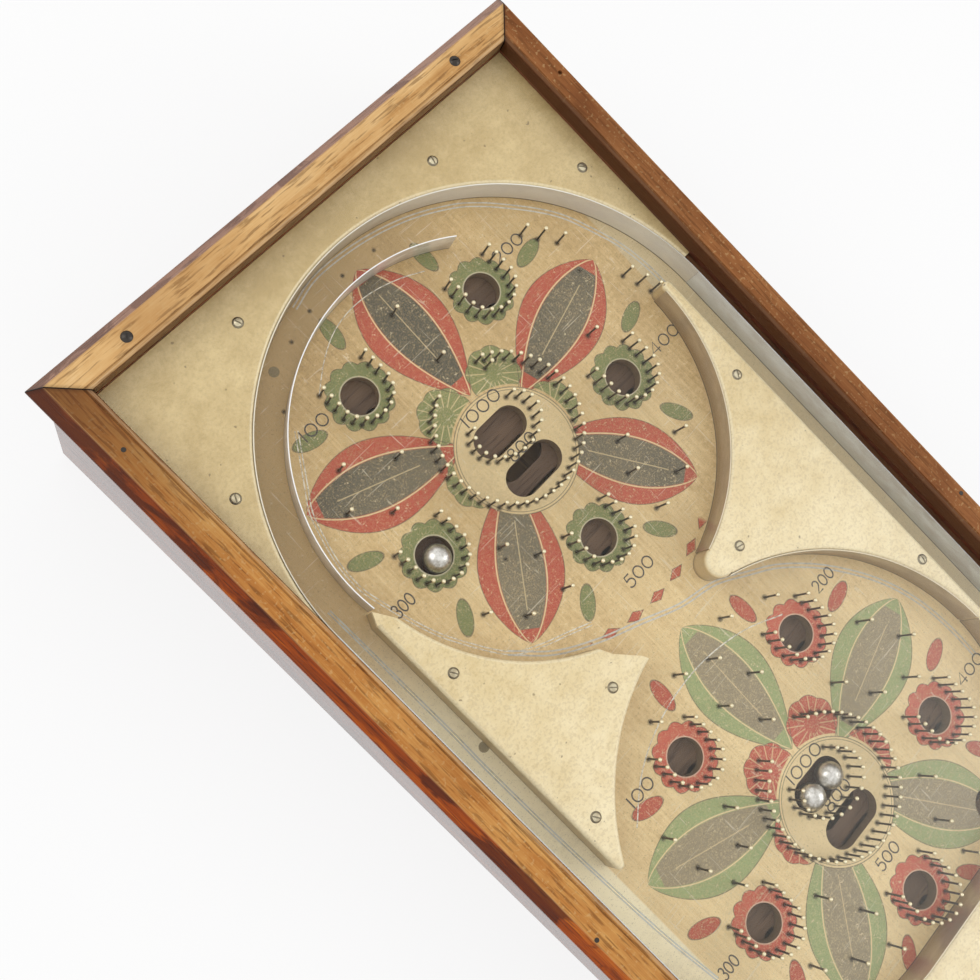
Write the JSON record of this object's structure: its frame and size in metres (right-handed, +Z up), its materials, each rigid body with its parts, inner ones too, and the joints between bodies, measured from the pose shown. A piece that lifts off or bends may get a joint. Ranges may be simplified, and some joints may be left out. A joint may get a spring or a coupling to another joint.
{
  "type": "tabletop pinball game",
  "caption": "Sloped wooden countertop pin game: glazed top frame, pinned playfield with numbered pockets, spring plunger, ball lift, coin slide with ball release and cash door.",
  "frame": {"origin": "on the supporting surface under the middle of the case's length and width", "axes": "+X to the right, +Y from the player to the back, +Z up"},
  "size_m": [0.406, 0.7795, 0.1501],
  "materials": {
    "case_wood": "dark varnished oak",
    "frame_wood": "worn amber varnished oak",
    "plain_wood": "bare",
    "field_wood": "printed and varnished plywood",
    "plate_wood": "cream lacquer",
    "glass": "polished",
    "ribbon_steel": "worn",
    "pin_brass": "tarnished",
    "ball_steel": "polished",
    "screw_steel": "aged",
    "plated_steel": "nickel plated",
    "hinge_brass": "aged",
    "black_plastic": "polished",
    "rubber": "matt"
  },
  "bodies": {
    "case": {"side_left": "case_wood", "side_right": "case_wood", "back_board": "case_wood", "front_board": "case_wood", "bottom_board": "plain_wood", "rail_left": "frame_wood", "rail_right": "frame_wood", "rail_back": "frame_wood", "rail_front": "frame_wood", "case_screws": "screw_steel", "frame_nails": "screw_steel", "glass_pane": "glass", "field_upper": "field_wood", "field_lower": "field_wood", "cleats": "plain_wood", "arch_plate": "plate_wood", "island_right": "plate_wood", "island_left": "plate_wood", "lower_plate": "plate_wood", "plate_screws": "screw_steel", "lane_strips": "ribbon_steel", "lane_fillers": "case_wood", "arch_ribbon": "ribbon_steel", "arc_rail": "ribbon_steel", "ribbon_upper": "ribbon_steel", "ribbon_lower": "ribbon_steel", "ribbon_front": "ribbon_steel", "pins_upper": "pin_brass", "pins_lower": "pin_brass", "balls_in_play": "ball_steel", "balls_waiting": "ball_steel", "shutter_studs": "plated_steel", "coin_housing": "plated_steel", "coin_chute": "plated_steel", "return_board": "plain_wood", "trough_rail": "plain_wood", "spring_post": "screw_steel", "shutter_spring": "screw_steel", "cash_walls": "plain_wood", "hinge_fixed": "hinge_brass", "plunger_housing": "plated_steel", "plunger_spring": "screw_steel", "lift_pin": "screw_steel", "lift_bracket": "plated_steel", "lift_plate": "plated_steel"},
    "shutter": {"shutter_board": "plain_wood", "coin_slide": "plated_steel", "slide_rivets": "plated_steel", "spring_anchor": "plated_steel"},
    "plunger": {"plunger_rod": "plated_steel", "plunger_tip": "rubber", "plunger_knob": "black_plastic"},
    "lift": {"lift_lever": "plated_steel", "lift_knob": "black_plastic", "ball_on_lift": "ball_steel"},
    "door": {"cash_door": "case_wood", "hinge_moving": "hinge_brass"},
    "lock": {"lock_barrel": "hinge_brass", "lock_cam": "plated_steel"}
  },
  "joints": [
    {"name": "coin_push", "type": "slide", "parent": "case", "child": "shutter", "axis": [0, 0.9962, 0.0872], "range_m": [0, 0.02], "stiffness_N_per_m": 60, "springref_m": -0.02, "deforming": ["shutter_spring"]},
    {"name": "plunger_pull", "type": "slide", "parent": "case", "child": "plunger", "axis": [0, -0.9962, -0.0872], "range_m": [0, 0.045], "stiffness_N_per_m": 350, "springref_m": -0.01, "deforming": ["plunger_spring"]},
    {"name": "ball_lift", "type": "hinge", "parent": "case", "child": "lift", "pos_m": [0.163, -0.32434, 0.02714], "axis": [1, 0, 0], "range_deg": [0, 27.4], "stiffness_Nm_per_rad": 0.15, "springref_deg": -17.19},
    {"name": "cash_door_hinge", "type": "hinge", "parent": "case", "child": "door", "pos_m": [0.115, 0.37726, 0.01424], "axis": [-1, 0, 0], "range_deg": [0, 90]},
    {"name": "lock_turn", "type": "hinge", "parent": "door", "child": "lock", "pos_m": [0.115, 0.3715, 0.04787], "axis": [0, 0.9962, 0.0872], "range_deg": [0, 90]}
  ]
}
